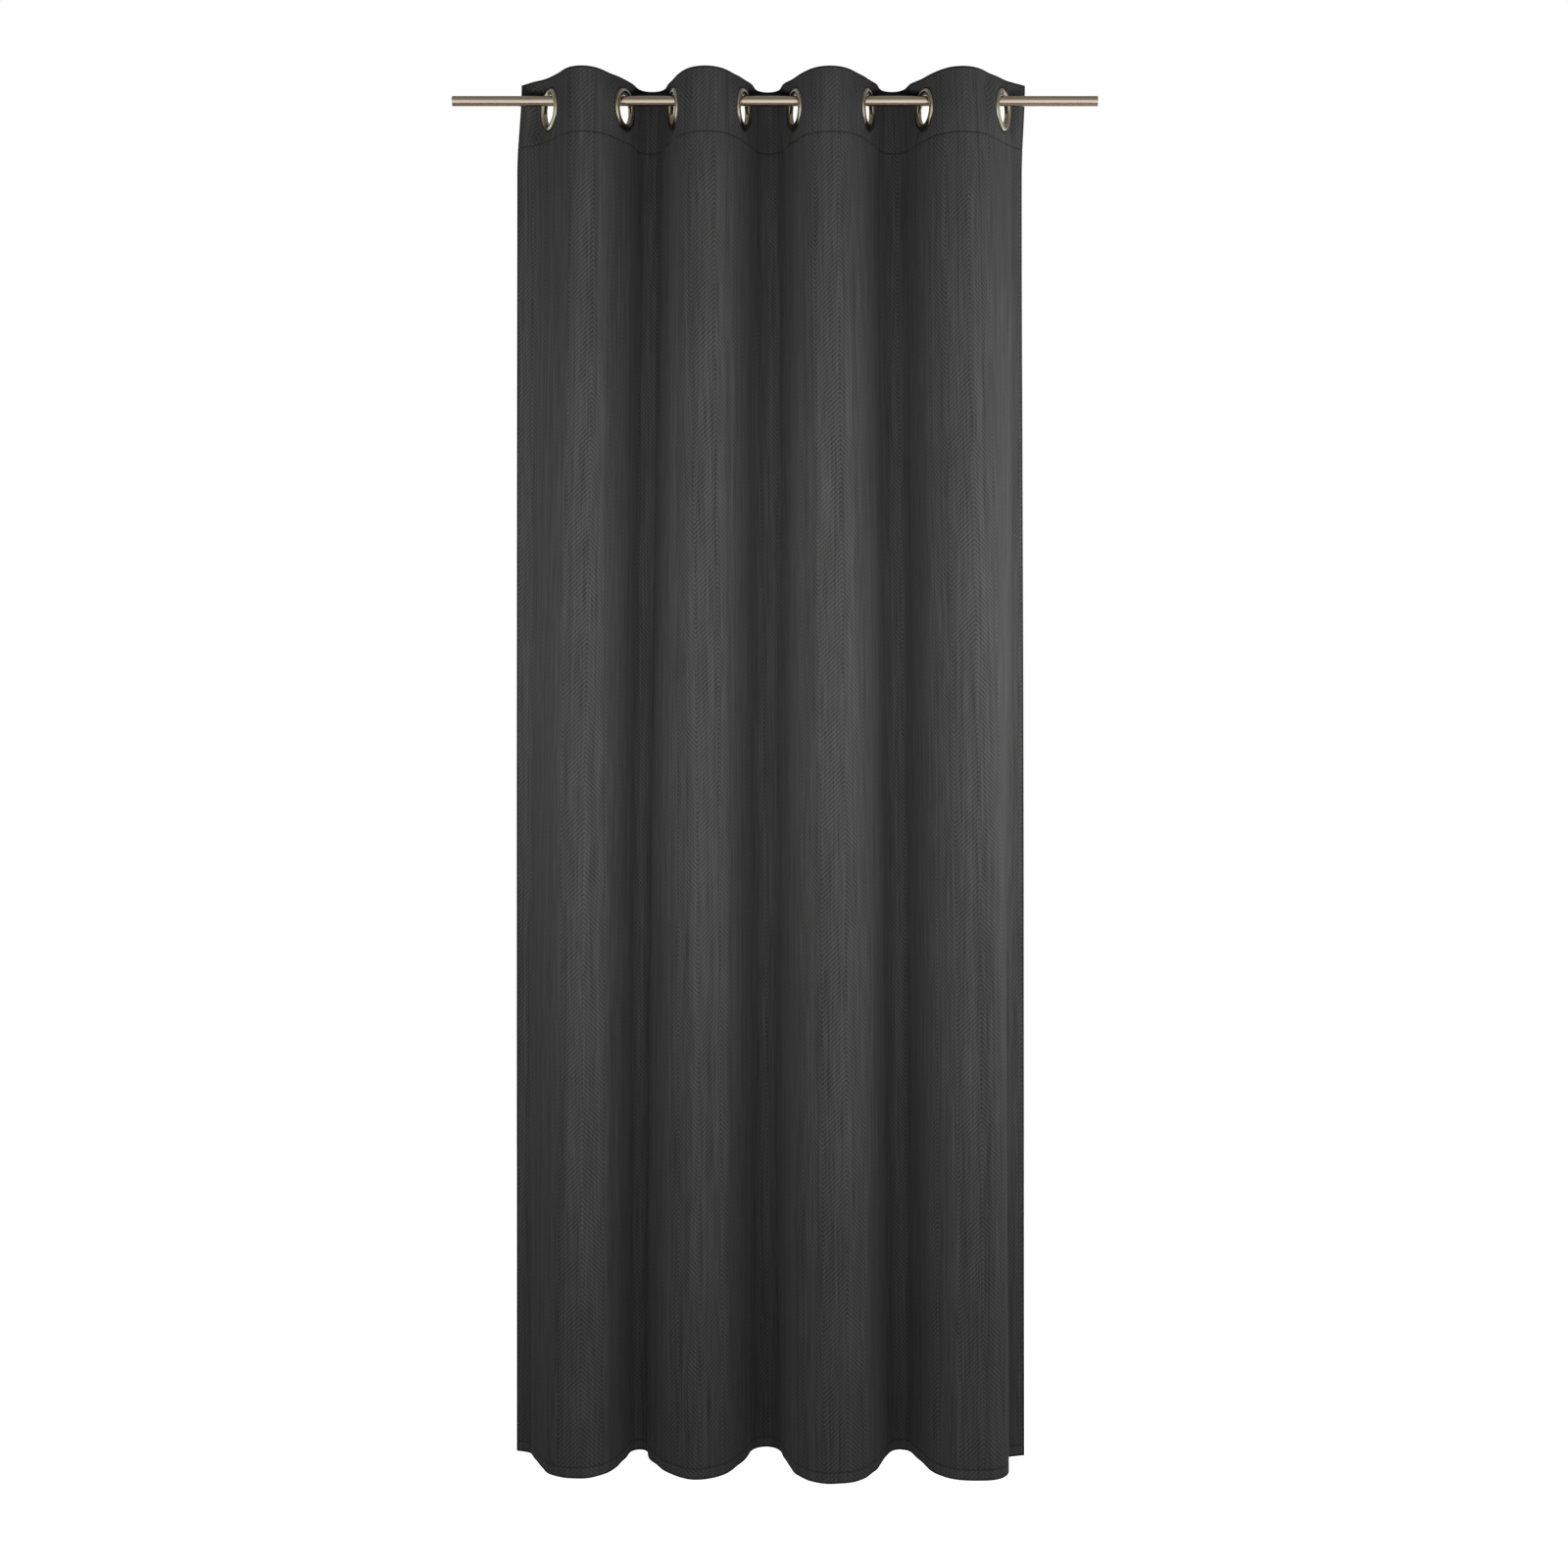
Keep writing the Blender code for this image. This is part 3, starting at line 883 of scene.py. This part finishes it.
def back_profile():
    """A low rim with a rounded outer edge and a rounded inner one."""
    seat = -HALF_HEADER - GAP
    outer = (EYELET_OUTER - 0.0008, seat - 0.0008)
    inner = (HOLE_RADIUS + 0.0006, seat - 0.0010)
    return [
        (EYELET_OUTER, seat),
        *arc(outer, 0.0008, 0, -90, 5),
        *arc(inner, 0.0006, -90, -180, 4),
        (HOLE_RADIUS, seat),
    ]


def build_eyelets():
    for number in range(COUNT):
        matrix = eyelet_frame(number)
        for side, profile in (("face", face_profile()), ("back", back_profile())):
            bm = turned_mesh(profile, EYELET_SIDES)
            bm.transform(matrix)
            ring = add_object(f"eyelet_{number + 1}_{side}", bm, MATERIALS["eyelet"])
            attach(ring, f"strip_{number + 1}")
            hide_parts(f"eyelet_{side}_ring_{number + 1}")


def build_pole():
    half = pole_high.x
    edge = POLE_EDGE
    bore = POLE_RADIUS - POLE_WALL
    profile = [(bore, -half + edge), (bore + edge, -half), (POLE_RADIUS - edge, -half)]
    profile += [(POLE_RADIUS, -half + edge), (POLE_RADIUS, half - edge)]
    profile += [(POLE_RADIUS - edge, half), (bore + edge, half), (bore, half - edge)]
    bm = turned_mesh(profile, POLE_SIDES)
    bm.transform(Matrix.Rotation(math.pi / 2, 4, "Y"))
    pole = add_object("pole", bm, MATERIALS["pole"], sharp_degrees=30)
    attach(pole, "pole")
    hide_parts("pole_tube")


def build_curtain():
    for i in range(COUNT - 1):
        reach = [EYELET_OUTER * math.cos(math.radians(turn)) for turn in EYELET_TURNS[i : i + 2]]
        ends = ((EYELET_X[i] + reach[0], 0, 0), (EYELET_X[i + 1] - reach[1], 0, 0))
        bodies = (f"strip_{i + 1}", f"strip_{i + 2}")
        low = i * EYELET_PITCH
        build_cloth_piece(f"fold_{i + 1}", i + 1, low, low + EYELET_PITCH, bodies, ends)
    build_cloth_piece("left_edge", None, SIDE_EDGES[0], 0.0, ("strip_1",), None)
    last = (COUNT - 1) * EYELET_PITCH
    build_cloth_piece("right_edge", COUNT, last, SIDE_EDGES[1], (f"strip_{COUNT}",), None)


# ---------------------------------------------------------------- studio and camera

CAMERA_DISTANCE = 3.16
CAMERA_HEIGHT = -0.885
CAMERA_SIDE = 0.014
LENS = 46.8
SENSOR_WIDTH = 36.0
SHIFT_UP = -0.0713


def build_camera():
    data = bpy.data.cameras.new("camera")
    data.lens = LENS
    data.sensor_width = SENSOR_WIDTH
    data.shift_y = SHIFT_UP
    camera = bpy.data.objects.new("camera", data)
    camera.location = (CAMERA_SIDE, -CAMERA_DISTANCE, CAMERA_HEIGHT)
    camera.rotation_euler = (math.pi / 2, 0, 0)
    bpy.context.scene.collection.objects.link(camera)
    bpy.context.scene.camera = camera


def area_light(name, location, target, size, watts):
    """A soft light that neither the camera nor the metal sees."""
    data = bpy.data.lights.new(name, "AREA")
    data.shape = "RECTANGLE"
    data.size, data.size_y = size
    data.energy = watts
    light = bpy.data.objects.new(name, data)
    light.location = location
    aim = Vector(target) - Vector(location)
    light.rotation_euler = aim.to_track_quat("-Z", "Y").to_euler()
    light.visible_camera = False
    light.visible_glossy = False
    bpy.context.scene.collection.objects.link(light)


AMBIENT = 0.05
# What the metal reflects, from straight down (0) to straight up (1)
ROOM = (
    (0.0, 0.26), (0.03, 0.34), (0.10, 1.0), (0.40, 1.35), (0.51, 0.95), (0.66, 0.46), (0.88, 0.26)
)


def build_world():
    """White to the camera, dim light on the cloth, and for the metal a room brightest near level."""
    world = bpy.data.worlds.new("studio")
    bpy.context.scene.world = world
    world.use_nodes = True
    nodes, links = world.node_tree.nodes, world.node_tree.links
    path = nodes.new("ShaderNodeLightPath")
    direction = nodes.new("ShaderNodeTexCoord")
    height = nodes.new("ShaderNodeSeparateXYZ")
    room = nodes.new("ShaderNodeValToRGB")
    links.new(direction.outputs["Generated"], height.inputs[0])
    # The direction's height goes from -1 to 1, and the ramp from 0 to 1
    raised = nodes.new("ShaderNodeMath")
    raised.operation = "MULTIPLY_ADD"
    raised.inputs[1].default_value = 0.5
    raised.inputs[2].default_value = 0.5
    links.new(height.outputs["Z"], raised.inputs[0])
    links.new(raised.outputs[0], room.inputs["Fac"])
    elements = room.color_ramp.elements
    elements.remove(elements[1])
    for position, level in ROOM[1:]:
        elements.new(position).color = (level, level, level, 1.0)
    elements[0].color = (ROOM[0][1], ROOM[0][1], ROOM[0][1], 1.0)
    shader = nodes["Background"].outputs[0]
    nodes["Background"].inputs["Color"].default_value = (1, 1, 1, 1)
    nodes["Background"].inputs["Strength"].default_value = AMBIENT
    for ray in ("Is Glossy Ray", "Is Camera Ray"):
        seen = nodes.new("ShaderNodeBackground")
        seen.inputs["Color"].default_value = (1, 1, 1, 1)
        if ray == "Is Glossy Ray":
            links.new(room.outputs["Color"], seen.inputs["Color"])
        mix = nodes.new("ShaderNodeMixShader")
        links.new(path.outputs[ray], mix.inputs["Fac"])
        links.new(shader, mix.inputs[1])
        links.new(seen.outputs[0], mix.inputs[2])
        shader = mix.outputs[0]
    links.new(shader, nodes["World Output"].inputs["Surface"])


# A broad soft light bent round the front: each part's angle from the front, and its watts
ARC = ((-62, 7.0), (-30, 7.6), (0, 16.0), (30, 8.0), (62, 10.5), (88, 15.0))
ARC_RADIUS = 1.5
ARC_HEIGHT = -0.80
ARC_PART_SIZE = (0.75, 0.35)
BEHIND_PLACE = (0.4, 1.9, -0.7)
BEHIND_SIZE = (1.2, 0.8)
BEHIND_WATTS = 45


def build_lights():
    middle = Vector((0, 0, ARC_HEIGHT))
    for angle, watts in ARC:
        outward = Vector((math.sin(math.radians(angle)), -math.cos(math.radians(angle)), 0))
        area_light(f"arc{angle}", outward * ARC_RADIUS + middle, middle, ARC_PART_SIZE, watts)
    area_light("behind", BEHIND_PLACE, middle, BEHIND_SIZE, BEHIND_WATTS)


FLOOR_RADIUS = 2.2
FLOOR_Y = 0.2
FLOOR_CLEARANCE = 0.03
FLOOR_TONE = 0.35


def build_floor():
    """A plain floor that the camera sees as white as the room."""
    bm = bmesh.new()
    bmesh.ops.create_circle(bm, cap_ends=True, segments=96, radius=FLOOR_RADIUS)
    shader = Shader("pale_floor")
    seen = shader.node("ShaderNodeLightPath").outputs["Is Camera Ray"]
    shader.set(
        Base_Color=(FLOOR_TONE, FLOOR_TONE, FLOOR_TONE, 1.0),
        Roughness=0.9,
        Emission_Color=(1.0, 1.0, 1.0, 1.0),
        Emission_Strength=seen,
    )
    floor = add_object("floor", bm, shader.material)
    floor.location = (0, FLOOR_Y, TOP_Z - DROP - FLOOR_CLEARANCE)


build_camera()
build_eyelets()
build_pole()
build_curtain()
build_floor()
build_world()
build_lights()
bpy.context.scene.view_settings.view_transform = "Standard"
